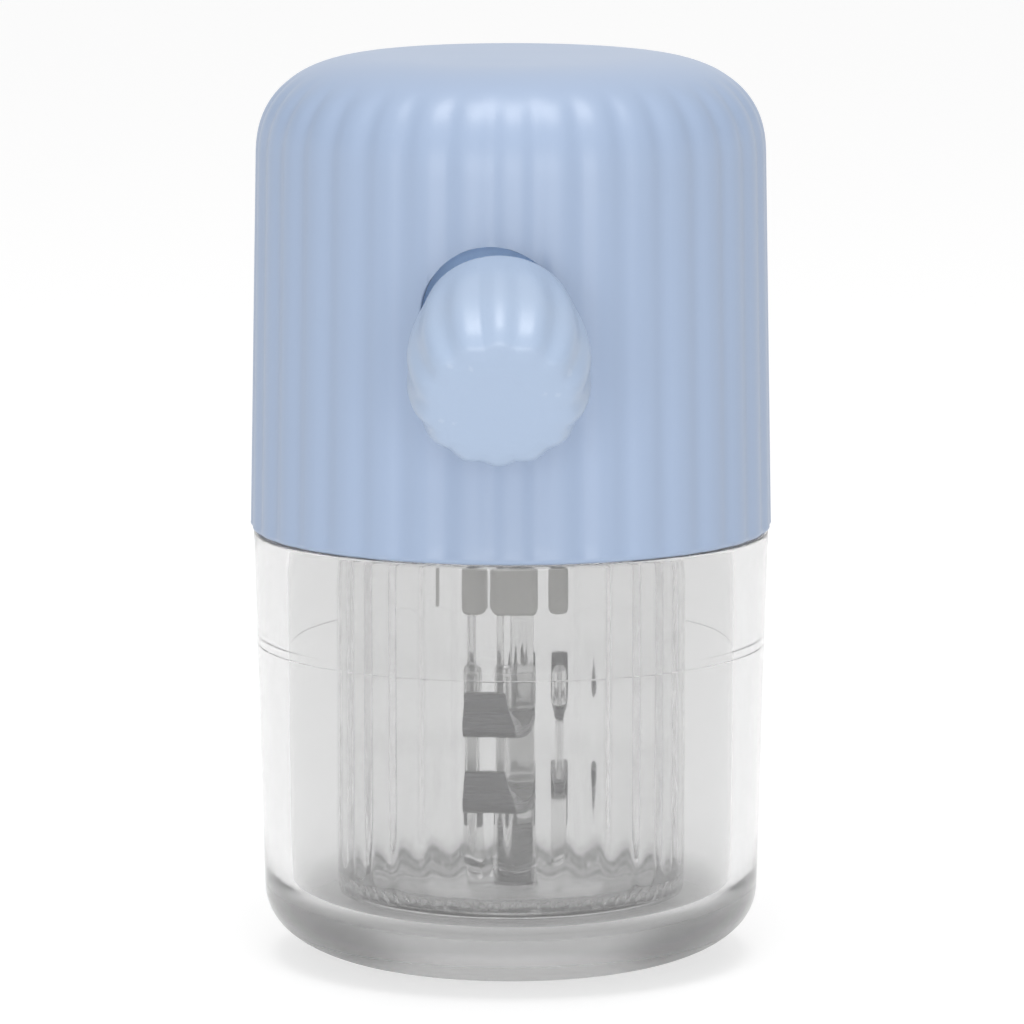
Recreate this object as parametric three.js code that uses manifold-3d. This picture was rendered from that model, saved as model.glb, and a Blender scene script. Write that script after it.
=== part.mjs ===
// A hand-held pill grinder. A clear cup with a ribbed inner chamber stands on a table, and a blue
// fluted cap sits on it. Pulling the knob on the cap's front unwinds a cord from a sprung reel, and
// a one-way clutch turns the bladed rotor in the chamber.
// Millimetres, +Z up. The origin is the centre of the cup's flat foot, and the knob faces -Y.
import * as THREE from 'three';
import { mergeVertices } from 'three/addons/utils/BufferGeometryUtils.js';
import Module from 'manifold-3d';

const wasm = await Module();
wasm.setup();

// Driving dimensions.
const gap = 0.3;
const fullHeight = 90.45;
const capBottom = 43.3;
const capRadiusLow = 26.0;
const capRadiusHigh = 25.34;
const capShoulderHeight = 10.4;
const capShoulderPower = 2.49;
const capTopRadius = 11.7;
const capWall = 2.0;
const roofUnderside = 88.3;
const fluteCount = 36;
const fluteDepth = 0.35;

const cupRadiusHigh = 25.67;
const cupRadiusLow = 24.72;
const cupFootRadius = 10.6;
const cupCornerHeight = 7.65;
const cupCornerPower = 2.32;
const cupShoulder = 43.0;
const cupRim = 51.0;
const cupFloor = 4.5;
const neckRadius = 23.6;
const neckBore = 22.3;

const linerRadius = 17.4;
const linerBore = 16.0;
const linerTop = 52.3;
const chamberFloor = 7.2;
const ribCount = 30;
const ribDepth = 0.4;

const pinRadius = 1.5;
const shaftRadius = 1.9;
const eyeRadius = 3.1;
const spacerRadius = 2.9;
const nutRadius = 3.8;
const bladeHalfSpan = 13.3;
const bladeWidth = 5.0;
const bladeThickness = 1.2;
const tipRise = 4.6;
const lowerNearRise = 4.3;
const lowerFarRise = -6.8;
const lowerBladeHeight = 16.8;
const upperBladeHeight = 24.4;
const bladeAngle = -4.6;
const shaftHexRadius = 2.0;

const coverBottom = 52.6;
const coverTop = 55.2;
const plugBottom = 46.5;
const plugRadius = 14.6;
const screwCircle = 20.3;
const screwAngles = [90, 210, 330];

const axleRadius = 1.75;
const drumRadius = 8.0;
const flangeRadius = 15.4;
const reelBottom = 62.5;
const reelTop = 72.0;
const windingRadius = 10.0;
const cordRadius = 0.75;
const caseRadius = 15.9;

const cordHeight = 67.3;
const holeRadius = 6.8;
const eyeletY = -17.2;
const beadReach = 12.3;
const pullYaw = THREE.MathUtils.degToRad(5);
const pullDrop = THREE.MathUtils.degToRad(1.2);
const knobDroop = THREE.MathUtils.degToRad(28.6);
const beadRadius = 2.3;
const beadDepth = 1.9;
const knobLength = 15.4;
const knobFlutes = 14;
const knobFluteDepth = 0.35;

// A closed mesh with shared vertices, no flat triangles and its faces pointing out.
function closed(geometry) {
  const bare = geometry.clone();
  bare.deleteAttribute('normal');
  bare.deleteAttribute('uv');
  const merged = mergeVertices(bare, 1e-4);
  const position = merged.getAttribute('position');
  const index = Array.from(merged.getIndex().array);
  const kept = [];
  const corners = [new THREE.Vector3(), new THREE.Vector3(), new THREE.Vector3()];
  let volume = 0;
  for (let i = 0; i < index.length; i += 3) {
    const [a, b, c] = index.slice(i, i + 3);
    if (a === b || b === c || c === a) continue;
    kept.push(a, b, c);
    [a, b, c].forEach((vertex, corner) => corners[corner].fromBufferAttribute(position, vertex));
    volume += corners[0].dot(corners[1].clone().cross(corners[2]));
  }
  if (volume < 0) kept.reverse();
  merged.setIndex(kept);
  return merged;
}

function toSolid(geometry) {
  const mesh = closed(geometry);
  const vertProperties = new Float32Array(mesh.getAttribute('position').array);
  const triVerts = new Uint32Array(mesh.getIndex().array);
  return new wasm.Manifold(new wasm.Mesh({ numProp: 3, vertProperties, triVerts }));
}

function toGeometry(solid) {
  const mesh = solid.getMesh();
  const geometry = new THREE.BufferGeometry();
  geometry.setAttribute('position', new THREE.BufferAttribute(mesh.vertProperties, 3));
  geometry.setIndex(new THREE.BufferAttribute(mesh.triVerts, 1));
  return geometry;
}

function combine(base, additions, cuts) {
  let solid = toSolid(base);
  for (const addition of additions) solid = solid.add(toSolid(addition));
  for (const cut of cuts) solid = solid.subtract(toSolid(cut));
  return toGeometry(solid);
}

// A profile of [radius, height] points turned about Z. Its first meridian faces -Y.
function turned(profile, segments) {
  const points = profile.map(([radius, height]) => new THREE.Vector2(radius, height));
  return new THREE.LatheGeometry(points, segments).rotateX(Math.PI / 2);
}

// As turned, with grooves: a third number on a point says how much of the depth it takes.
function fluted(profile, count, stepsPerFlute, depth) {
  const segments = count * stepsPerFlute;
  const geometry = turned(profile, segments);
  const position = geometry.getAttribute('position');
  for (let i = 0; i < position.count; i += 1) {
    const [radius, , share = 0] = profile[i % profile.length];
    if (share === 0) continue;
    const turn = Math.floor(i / profile.length) / stepsPerFlute;
    const groove = 0.5 + 0.5 * Math.cos(2 * Math.PI * turn);
    const scale = 1 - (share * depth * groove) / radius;
    position.setX(i, position.getX(i) * scale);
    position.setY(i, position.getY(i) * scale);
  }
  return geometry;
}

function post(radius, bottom, top, x = 0, y = 0, sides = 16) {
  const cylinder = new THREE.CylinderGeometry(radius, radius, top - bottom, sides);
  return cylinder.rotateX(Math.PI / 2).translate(x, y, (top + bottom) / 2);
}

// A superellipse quarter from the side (outer, start) round to the end (inner, start + rise).
function corner(outer, inner, start, rise, power, steps) {
  const points = [];
  for (let i = 0; i <= steps; i += 1) {
    const angle = (Math.PI / 2) * (i / steps);
    const radius = inner + (outer - inner) * Math.max(Math.cos(angle), 0) ** (2 / power);
    points.push([radius, start + rise * Math.sin(angle) ** (2 / power)]);
  }
  return points;
}

function polar(radius, degrees) {
  const angle = THREE.MathUtils.degToRad(degrees);
  return [radius * Math.cos(angle), radius * Math.sin(angle)];
}

function material(colour, roughness, metalness = 0) {
  return new THREE.MeshStandardMaterial({ color: colour, roughness, metalness });
}

const finishes = {
  blue: () => material(0xa9c0de, 0.38),
  clear: () => {
    const glassy = material(0xe6eaec, 0.08);
    glassy.transparent = true;
    glassy.opacity = 0.4;
    return glassy;
  },
  white: () => material(0xe9e7e0, 0.45),
  steel: () => material(0xb9bcc0, 0.28, 1),
  darkSteel: () => material(0x6d7176, 0.35, 1),
  brass: () => material(0xc8a860, 0.3, 1),
  rubber: () => material(0xd8d8d4, 0.7),
  cord: () => material(0xe9e9e6, 0.85),
};

const pillGrinder = new THREE.Group();

function addPiece(name, geometry, finish, group = pillGrinder) {
  const mesh = new THREE.Mesh(closed(geometry), finishes[finish]());
  mesh.name = name;
  group.add(mesh);
}

// Cup -------------------------------------------------------------------------------------------

function clearCup() {
  const foot = corner(cupRadiusLow, cupFootRadius, cupCornerHeight, -cupCornerHeight, cupCornerPower, 6);
  return turned([
    [0, 0],
    ...foot.reverse(),
    [cupRadiusHigh, cupShoulder - 0.5],
    [cupRadiusHigh - 0.4, cupShoulder],
    [neckRadius, cupShoulder],
    [neckRadius, cupRim],
    [neckBore, cupRim],
    [22.0, 9],
    [20.4, 5.4],
    [18.0, cupFloor],
    [0, cupFloor],
  ], 48);
}

function grindingLiner() {
  const bottom = cupFloor + 0.4;
  return fluted([
    [0, bottom],
    [14.6, bottom],
    [16.6, bottom + 0.9],
    [linerRadius, bottom + 3],
    [linerRadius, cupRim + gap],
    [neckRadius - gap, cupRim + gap],
    [neckRadius - gap, linerTop],
    [linerBore, linerTop],
    [linerBore, 45.5, 0],
    [linerBore, 44.5, 1],
    [linerBore, 10.5, 1],
    [15.3, 8, 0],
    [14.6, chamberFloor],
    [3.6, chamberFloor],
    [3.2, 9.4],
    [pinRadius + gap, 9.4],
    [pinRadius + gap, 6.6],
    [0, 6.6],
  ], ribCount, 2, ribDepth);
}

addPiece('clear_cup', clearCup(), 'clear');
addPiece('grinding_liner', grindingLiner(), 'clear');
addPiece('floor_pin', post(pinRadius, 6.9, 14, 0, 0, 12), 'steel');

// Rotor -----------------------------------------------------------------------------------------

const spacerBottom = lowerBladeHeight + bladeThickness + gap;
const nutBottom = upperBladeHeight + bladeThickness + gap;
const nutTop = nutBottom + 3.4;
const shaftTop = 46.4;

function rotorShaft() {
  const bore = pinRadius + gap;
  const core = turned([
    [bore, 9.8],
    [4, 9.8],
    [4, lowerBladeHeight - gap],
    [shaftRadius, lowerBladeHeight - gap],
    [shaftRadius, nutTop + 1],
    [0, nutTop + 1],
    [0, 15.3],
    [bore, 15.3],
    [bore, 9.8],
  ], 16);
  return combine(core, [post(shaftHexRadius, nutTop + gap, shaftTop, 0, 0, 6)], []);
}

// A flat strip whose tips are bent square. A tip's rise is its height above the strip's underside,
// or below its top where it is negative.
function bentTip(end, rise) {
  const up = Math.sign(rise);
  const from = up > 0 ? 0 : bladeThickness;
  const half = bladeHalfSpan;
  return [
    [end * (half - bladeThickness), from + up * bladeThickness],
    [end * (half - bladeThickness), from + rise],
    [end * half, from + rise],
    [end * half, from + up * 0.6],
    [end * (half - 0.6), from],
  ];
}

function blade(height, nearRise, farRise) {
  const near = bentTip(-1, nearRise);
  const far = bentTip(1, farRise);
  if (nearRise > 0) near.reverse();
  if (farRise < 0) far.reverse();
  const corners = [...near.reverse(), ...far.reverse()];
  const outline = new THREE.Shape(corners.map((point) => new THREE.Vector2(...point)));
  const strip = new THREE.ExtrudeGeometry(outline, { depth: bladeWidth, bevelEnabled: false });
  strip.translate(0, 0, -bladeWidth / 2);
  strip.rotateX(Math.PI / 2);
  strip.rotateZ(Math.PI / 2 + THREE.MathUtils.degToRad(bladeAngle));
  strip.translate(0, 0, height);
  const eye = post(eyeRadius, height, height + bladeThickness);
  const bore = post(shaftRadius + gap, height - 1, height + bladeThickness + 1);
  return combine(strip, [eye], [bore]);
}

function sleeve(bore, radius, bottom, top, segments) {
  return turned([[bore, bottom], [radius, bottom], [radius, top], [bore, top], [bore, bottom]], segments);
}

function spacer() {
  return sleeve(shaftRadius + gap, spacerRadius, spacerBottom, upperBladeHeight - gap, 16);
}

function bladeNut() {
  const bore = post(shaftRadius + gap, nutBottom - 1, nutTop + 1);
  return combine(post(nutRadius, nutBottom, nutTop, 0, 0, 6), [], [bore]);
}

addPiece('rotor_shaft', rotorShaft(), 'clear');
addPiece('lower_blade', blade(lowerBladeHeight, lowerNearRise, lowerFarRise), 'steel');
addPiece('blade_spacer', spacer(), 'clear');
addPiece('upper_blade', blade(upperBladeHeight, tipRise, tipRise), 'steel');
addPiece('blade_nut', bladeNut(), 'clear');

// Cap -------------------------------------------------------------------------------------------

const capShoulderStart = fullHeight - capShoulderHeight;

function capShell() {
  const shareAt = (radius) => THREE.MathUtils.clamp((radius - 20) / 4.5, 0, 1);
  const shoulder = corner(capRadiusHigh, capTopRadius, capShoulderStart, capShoulderHeight,
    capShoulderPower, 6).map(([radius, height]) => [radius, height, shareAt(radius)]);
  const inside = corner(capRadiusHigh - capWall, 12, capShoulderStart - 1,
    roofUnderside - capShoulderStart + 1, capShoulderPower, 4);
  const shell = fluted([
    [24.4, capBottom],
    [25.4, capBottom, 0.5],
    [25.85, capBottom + 0.25, 1],
    [capRadiusLow, capBottom + 0.8, 1],
    ...shoulder,
    [0, fullHeight],
    [0, roofUnderside],
    ...inside.reverse(),
    [capRadiusLow - capWall, capBottom + 0.6],
    [24.4, capBottom],
  ], fluteCount, 2, fluteDepth);
  const bosses = screwAngles.map((angle) => {
    const [x, y] = polar(screwCircle, angle);
    return post(2.7, coverTop + gap, 86.2, x, y, 12);
  });
  const axleBoss = post(4.6, 80.5, roofUnderside + 1, 0, 0, 20);
  const screwHoles = screwAngles.map((angle) => post(1.5, 50, 64.5, ...polar(screwCircle, angle), 10));
  const axleHole = post(axleRadius + gap, 80, 86.5, 0, 0, 16);
  const knobHole = turned([
    [0, 20],
    [holeRadius, 20],
    [holeRadius, 25],
    [holeRadius + 1.5, 26.5],
    [0, 26.5],
  ], 40);
  knobHole.rotateX(Math.PI / 2).translate(0, 0, cordHeight);
  return combine(shell, [...bosses, axleBoss], [...screwHoles, axleHole, knobHole]);
}

// The blue cup behind the hole in the cap's wall. Its mouth follows the inside of that wall.
function knobSocket() {
  const back = -eyeletY - 0.9;
  const funnel = turned([
    [2.6, back],
    [8, back],
    [8, 26],
    [holeRadius + 0.2, 26],
    [holeRadius + 0.2, 22],
    [6.2, 21.2],
    [5, 20.2],
    [4, 19.2],
    [4, back + 1.2],
    [2.6, back + 1.2],
    [2.6, back],
  ], 24);
  funnel.rotateX(Math.PI / 2).translate(0, 0, cordHeight);
  const inside = post(capRadiusHigh - capWall - gap, cordHeight - 12, cordHeight + 12, 0, 0, 72);
  return toGeometry(toSolid(funnel).intersect(toSolid(inside)));
}

function cordEyelet() {
  const ring = turned([
    [1.3, -1.0],
    [1.7, -1.3],
    [2.3, -1.0],
    [2.3, 0.6],
    [3.4, 0.6],
    [3.4, 0.95],
    [2.6, 1.2],
    [1.7, 1.2],
    [1.3, 0.8],
    [1.3, -1.0],
  ], 16);
  return ring.rotateX(Math.PI / 2).translate(0, eyeletY, cordHeight);
}

function springCase() {
  const floor = reelTop + 0.5;
  return turned([
    [5.2, floor],
    [caseRadius, floor],
    [caseRadius, 87.4],
    [caseRadius - 1, 87.4],
    [caseRadius - 1, floor + 1],
    [5.2, floor + 1],
    [5.2, floor],
  ], 28);
}

// A flat strip wound as a spiral from the reel's arbor out to the case.
function recoilSpring() {
  const turns = 4;
  const stepsPerTurn = 14;
  const innerRadius = 4.9;
  const outerRadius = 13.9;
  const strip = 0.5;
  const count = turns * stepsPerTurn;
  const along = (offset) => Array.from({ length: count + 1 }, (_, i) => {
    const radius = innerRadius + (outerRadius - innerRadius) * (i / count) + offset;
    return new THREE.Vector2(...polar(radius, (360 * i) / stepsPerTurn));
  });
  const outline = new THREE.Shape([...along(0), ...along(strip).reverse()]);
  return new THREE.ExtrudeGeometry(outline, { depth: 5, bevelEnabled: false }).translate(0, 0, 74.2);
}

function baseCover() {
  const cover = turned([
    [7.2, plugBottom],
    [plugRadius, plugBottom],
    [plugRadius, coverBottom],
    [23.3, coverBottom],
    [23.3, coverTop],
    [13, coverTop],
    [13, plugBottom + 1.5],
    [9, plugBottom + 1.5],
    [9, coverTop],
    [7.2, coverTop],
    [7.2, plugBottom],
  ], 32);
  const holes = screwAngles.flatMap((angle) => {
    const [x, y] = polar(screwCircle, angle);
    return [post(1.5, 50, 60, x, y, 10), post(2.5, 50, 54.4, x, y, 14)];
  });
  return combine(cover, [], holes);
}

function sealRing() {
  return turned([[14.9, 47.8], [15.4, 48], [15.7, 49], [15.4, 50], [14.9, 50.2], [14.9, 47.8]], 24);
}

function driveBush() {
  return turned([
    [5.3, plugBottom + 0.4],
    [6.9, plugBottom + 0.4],
    [6.9, coverTop + gap],
    [8.6, coverTop + gap],
    [8.6, coverTop + 1],
    [5.3, coverTop + 1],
    [5.3, plugBottom + 0.4],
  ], 24);
}

function coverScrew(angle) {
  const screw = turned([
    [0, 53.6],
    [0.7, 52.9],
    [1.9, 52.9],
    [2.2, 53.2],
    [2.2, 54.1],
    [1.2, 54.1],
    [1.2, 62.6],
    [0.5, 63.6],
    [0, 63.6],
  ], 10);
  return screw.translate(...polar(screwCircle, angle), 0);
}

addPiece('cap_shell', capShell(), 'blue');
addPiece('knob_socket', knobSocket(), 'blue');
addPiece('cord_eyelet', cordEyelet(), 'brass');
addPiece('spring_case', springCase(), 'white');
addPiece('recoil_spring', recoilSpring(), 'darkSteel');
addPiece('axle_pin', post(axleRadius, 57.8, 86.2, 0, 0, 16), 'steel');
addPiece('base_cover', baseCover(), 'white');
addPiece('seal_ring', sealRing(), 'rubber');
addPiece('drive_bush', driveBush(), 'brass');
screwAngles.forEach((angle, i) => addPiece(`cover_screw_${i + 1}`, coverScrew(angle), 'steel'));

// Reel and clutch -------------------------------------------------------------------------------

const ratchetTeeth = 18;
const toothAngle = 360 / ratchetTeeth;
const pawlTipAngle = -25;
const pawlPivot = 7.2;
const hubBottom = 35.4;

function cordReel() {
  const bore = axleRadius + gap;
  return turned([
    [bore, reelBottom],
    [flangeRadius, reelBottom],
    [flangeRadius, 63.9],
    [drumRadius, 63.9],
    [drumRadius, 70.7],
    [flangeRadius, 70.7],
    [flangeRadius, reelTop],
    [4.2, reelTop],
    [4.2, 80],
    [bore, 80],
    [bore, reelBottom],
  ], 28);
}

function ratchetRing() {
  const outline = new THREE.Shape();
  outline.absarc(0, 0, 14.6, 0, 2 * Math.PI);
  const teeth = new THREE.Path();
  const start = pawlTipAngle - 1.8;
  for (let i = 0; i < ratchetTeeth; i += 1) {
    const angle = start + i * toothAngle;
    if (i === 0) teeth.moveTo(...polar(11.6, angle));
    else teeth.lineTo(...polar(11.6, angle));
    teeth.lineTo(...polar(12.8, angle + 0.3));
  }
  outline.holes.push(teeth);
  const ring = new THREE.ExtrudeGeometry(outline, { depth: 3.3, bevelEnabled: false, curveSegments: 16 });
  return ring.translate(0, 0, 58.9);
}

function driveHub() {
  const hub = turned([
    [0, hubBottom],
    [5, hubBottom],
    [5, 56.6],
    [11, 56.6],
    [11, 58.4],
    [4.2, 58.4],
    [4.2, 61.4],
    [axleRadius + gap, 61.4],
    [axleRadius + gap, 57.4],
    [0, 57.4],
  ], 20);
  const pivots = [0, 180].map((angle) => post(0.9, 58, 61.8, ...polar(pawlPivot, angle), 10));
  const socket = post(shaftHexRadius + 0.35, hubBottom - 1, 47.5, 0, 0, 6);
  return combine(hub, pivots, [socket]);
}

function pawl(angle) {
  const outline = new THREE.Shape();
  outline.moveTo(...polar(12.3, pawlTipAngle));
  outline.absarc(pawlPivot, 0, 1.9, THREE.MathUtils.degToRad(30), THREE.MathUtils.degToRad(212), false);
  outline.lineTo(...polar(11, pawlTipAngle));
  const eye = new THREE.Path();
  eye.absarc(pawlPivot, 0, 0.9 + gap, 0, 2 * Math.PI);
  outline.holes.push(eye);
  const arm = new THREE.ExtrudeGeometry(outline, { depth: 2.8, bevelEnabled: false, curveSegments: 6 });
  return arm.translate(0, 0, 58.8).rotateZ(THREE.MathUtils.degToRad(angle));
}

addPiece('cord_reel', cordReel(), 'white');
addPiece('cord_winding', sleeve(drumRadius + gap, windingRadius, 64.2, 70.4, 32), 'cord');
addPiece('ratchet_ring', ratchetRing(), 'steel');
addPiece('reel_washer', sleeve(axleRadius + 0.35, 4.4, 61.7, 62.2, 16), 'brass');
addPiece('drive_hub', driveHub(), 'white');
addPiece('pawl_1', pawl(0), 'steel');
addPiece('pawl_2', pawl(180), 'steel');

// Pull cord and knob ----------------------------------------------------------------------------

const eyeletCentre = new THREE.Vector3(0, eyeletY, cordHeight);
const pullAxis = new THREE.Vector3(
  Math.sin(pullYaw) * Math.cos(pullDrop),
  -Math.cos(pullYaw) * Math.cos(pullDrop),
  -Math.sin(pullDrop),
);
const beadCentre = eyeletCentre.clone().addScaledVector(pullAxis, beadReach);

// The taut run from the winding, through the eyelet, to the bead. It leaves the winding on -X.
function pullCord() {
  const wrapRadius = windingRadius + gap + cordRadius;
  const onWrap = (degrees) => new THREE.Vector3(...polar(wrapRadius, degrees), cordHeight);
  const curve = new THREE.CatmullRomCurve3([
    beadCentre.clone().addScaledVector(pullAxis, -beadRadius - gap),
    eyeletCentre.clone().addScaledVector(pullAxis, 6),
    eyeletCentre.clone().addScaledVector(pullAxis, 2),
    eyeletCentre.clone().addScaledVector(pullAxis, -1.6),
    new THREE.Vector3(-2, -14, cordHeight),
    onWrap(245),
    onWrap(229),
    onWrap(213),
  ]);
  const section = new THREE.Shape();
  section.absarc(0, 0, cordRadius, 0, 2 * Math.PI);
  return new THREE.ExtrudeGeometry(section, { steps: 14, extrudePath: curve, curveSegments: 4 });
}

// The knob's own frame has +Z along its axis, away from the cap, and its first flute on top.
const knobAxis = new THREE.Vector3(
  Math.sin(pullYaw) * Math.cos(knobDroop),
  -Math.cos(pullYaw) * Math.cos(knobDroop),
  -Math.sin(knobDroop),
);
const knobDown = new THREE.Vector3(0, 0, -1).addScaledVector(knobAxis, knobAxis.z).normalize();
const knobSide = knobDown.clone().cross(knobAxis);
const knob = new THREE.Group();
knob.quaternion.setFromRotationMatrix(new THREE.Matrix4().makeBasis(knobSide, knobDown, knobAxis));
knob.position.copy(beadCentre).addScaledVector(knobAxis, -beadDepth);
pillGrinder.add(knob);

function knobShell() {
  const side = new THREE.SplineCurve([
    new THREE.Vector2(4.6, knobLength - 0.05),
    new THREE.Vector2(7.05, knobLength - 0.6),
    new THREE.Vector2(8.4, knobLength - 2.6),
    new THREE.Vector2(9.0, 9.2),
    new THREE.Vector2(8.5, 5),
    new THREE.Vector2(7.35, 1),
  ]).getPoints(8).map((point) => [point.x, point.y, 1]);
  side[0][2] = 0.3;
  return fluted([
    [0, knobLength - 0.15],
    [3.6, knobLength - 0.15],
    [3.9, knobLength],
    ...side,
    [6.95, 0.1, 0.5],
    [6.5, 0],
    [5.7, 0.3],
    [5.7, 4],
    [6.8, 7],
    [6.8, 10.6],
    [4.4, 13.6],
    [0, 13.8],
  ], knobFlutes, 2, knobFluteDepth);
}

// The plate that closes the knob's back and holds the cord's bead in a round seat.
function knobBack() {
  const seat = beadRadius + gap;
  const rear = 0.2;
  const seatArc = [];
  for (let i = 0; i <= 4; i += 1) {
    const depth = beadDepth - (beadDepth - rear) * (i / 4);
    seatArc.push([Math.sqrt(seat ** 2 - (beadDepth - depth) ** 2), depth]);
  }
  return turned([
    [5.4, rear],
    [5.4, 3.4],
    [seat, 3.4],
    ...seatArc,
    [5.4, rear],
  ], 18);
}

addPiece('pull_cord', pullCord(), 'cord');
const bead = new THREE.SphereGeometry(beadRadius, 12, 8);
addPiece('cord_bead', bead.translate(...beadCentre.toArray()), 'steel');
addPiece('knob_shell', knobShell(), 'blue', knob);
addPiece('knob_back', knobBack(), 'blue', knob);

export default pillGrinder;
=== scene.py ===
# A hand-held pill grinder with a blue fluted cap, a pull knob and a clear cup, on a pale floor.
# Lengths in the dictionaries are millimetres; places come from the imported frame.
import math

import bmesh
import bpy
from mathutils import Matrix, Vector


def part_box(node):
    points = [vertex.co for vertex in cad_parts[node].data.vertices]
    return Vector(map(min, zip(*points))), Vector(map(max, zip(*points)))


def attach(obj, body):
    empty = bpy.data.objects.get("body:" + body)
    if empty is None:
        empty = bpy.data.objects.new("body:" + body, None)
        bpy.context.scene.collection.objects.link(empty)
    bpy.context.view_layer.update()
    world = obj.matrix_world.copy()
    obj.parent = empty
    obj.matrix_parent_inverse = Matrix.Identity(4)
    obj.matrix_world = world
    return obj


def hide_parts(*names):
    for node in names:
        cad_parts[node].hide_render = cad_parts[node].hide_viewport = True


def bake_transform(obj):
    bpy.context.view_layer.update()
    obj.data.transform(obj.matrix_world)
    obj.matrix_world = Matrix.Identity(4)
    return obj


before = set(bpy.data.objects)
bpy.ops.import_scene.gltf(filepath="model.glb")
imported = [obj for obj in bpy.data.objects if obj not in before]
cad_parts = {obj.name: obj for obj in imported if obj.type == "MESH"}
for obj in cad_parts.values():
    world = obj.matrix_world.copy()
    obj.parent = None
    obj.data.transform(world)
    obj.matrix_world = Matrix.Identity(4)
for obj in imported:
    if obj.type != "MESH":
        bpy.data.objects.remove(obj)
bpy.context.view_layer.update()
mm = 0.001
scene = bpy.context.scene


def boxOf(node):
    low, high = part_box(node)
    return low / mm, high / mm


def material(name, colour, **values):
    made = bpy.data.materials.new(name)
    made.use_nodes = True
    shader = made.node_tree.nodes["Principled BSDF"]
    shader.inputs["Base Color"].default_value = (*colour, 1)
    for key, value in values.items():
        shader.inputs[key].default_value = value
    return made, made.node_tree, shader


def addNode(tree, kind, **settings):
    made = tree.nodes.new(kind)
    for key, value in settings.items():
        if key in made.inputs:
            made.inputs[key].default_value = value
        else:
            setattr(made, key, value)
    return made


def newGroup(name, inputs, outputs):
    group = bpy.data.node_groups.new(name, "ShaderNodeTree")
    number = "NodeSocketFloat"
    for label, value in inputs.items():
        socket = group.interface.new_socket(name=label, in_out="INPUT", socket_type=number)
        socket.default_value = value
    for label in outputs:
        group.interface.new_socket(name=label, in_out="OUTPUT", socket_type=number)
    source = group.nodes.new("NodeGroupInput")
    sink = group.nodes.new("NodeGroupOutput")
    return group, source, sink


def useGroup(tree, group, **values):
    made = tree.nodes.new("ShaderNodeGroup")
    made.node_tree = group
    for key, value in values.items():
        made.inputs[key].default_value = value
    return made


# The fine bloom that a spark-eroded mould leaves on plastic, with slow mottling over it.
def buildMouldGrain():
    group, source, sink = newGroup("mouldGrain", {"Grain Size": 900.0, "Mottle Size": 45.0},
                                   ["Height", "Mottle"])
    place = group.nodes.new("ShaderNodeTexCoord")
    grain = addNode(group, "ShaderNodeTexNoise", Detail=3.0, Roughness=0.6)
    mottle = addNode(group, "ShaderNodeTexNoise", Detail=2.0, Roughness=0.5)
    group.links.new(place.outputs["Object"], grain.inputs["Vector"])
    group.links.new(place.outputs["Object"], mottle.inputs["Vector"])
    group.links.new(source.outputs["Grain Size"], grain.inputs["Scale"])
    group.links.new(source.outputs["Mottle Size"], mottle.inputs["Scale"])
    group.links.new(grain.outputs["Fac"], sink.inputs["Height"])
    group.links.new(mottle.outputs["Fac"], sink.inputs["Mottle"])
    return group


# Hairline rubs. They lie level where Across is the larger, as it sets how fine they are in height.
def buildRubLines():
    group, source, sink = newGroup("rubLines", {"Across": 900.0, "Along": 30.0},
                                   ["Height", "Lines"])
    place = group.nodes.new("ShaderNodeTexCoord")
    stretch = addNode(group, "ShaderNodeVectorMath", operation="MULTIPLY")
    sizes = group.nodes.new("ShaderNodeCombineXYZ")
    lines = addNode(group, "ShaderNodeTexNoise", Scale=1.0, Detail=4.0, Roughness=0.7)
    sharpen = addNode(group, "ShaderNodeMapRange", **{"From Min": 0.35, "From Max": 0.65})
    group.links.new(source.outputs["Along"], sizes.inputs["X"])
    group.links.new(source.outputs["Along"], sizes.inputs["Y"])
    group.links.new(source.outputs["Across"], sizes.inputs["Z"])
    group.links.new(place.outputs["Object"], stretch.inputs[0])
    group.links.new(sizes.outputs["Vector"], stretch.inputs[1])
    group.links.new(stretch.outputs["Vector"], lines.inputs["Vector"])
    group.links.new(lines.outputs["Fac"], sharpen.inputs["Value"])
    group.links.new(lines.outputs["Fac"], sink.inputs["Height"])
    group.links.new(sharpen.outputs["Result"], sink.inputs["Lines"])
    return group


# Convex edges, found by pointiness, where the plastics are painted paler.
def buildEdgeMask():
    group, source, sink = newGroup("edgeMask", {"Start": 0.52, "Full": 0.6}, ["Edge"])
    geometry = group.nodes.new("ShaderNodeNewGeometry")
    ramp = group.nodes.new("ShaderNodeMapRange")
    group.links.new(geometry.outputs["Pointiness"], ramp.inputs["Value"])
    group.links.new(source.outputs["Start"], ramp.inputs["From Min"])
    group.links.new(source.outputs["Full"], ramp.inputs["From Max"])
    group.links.new(ramp.outputs["Result"], sink.inputs["Edge"])
    return group


# One below the low height, nothing above the high one, both in metres above the floor.
def buildHeightFade():
    group, source, sink = newGroup("heightFade", {"Low": 0.0, "High": 0.01}, ["Fade"])
    place = group.nodes.new("ShaderNodeTexCoord")
    parts = group.nodes.new("ShaderNodeSeparateXYZ")
    ramp = addNode(group, "ShaderNodeMapRange", interpolation_type="SMOOTHSTEP",
                   **{"To Min": 1, "To Max": 0})
    group.links.new(place.outputs["Object"], parts.inputs["Vector"])
    group.links.new(parts.outputs["Z"], ramp.inputs["Value"])
    group.links.new(source.outputs["Low"], ramp.inputs["From Min"])
    group.links.new(source.outputs["High"], ramp.inputs["From Max"])
    group.links.new(ramp.outputs["Result"], sink.inputs["Fade"])
    return group


mouldGrain = buildMouldGrain()
heightFade = buildHeightFade()
rubLines = buildRubLines()
edgeMask = buildEdgeMask()
print("shared effects ready")


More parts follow.
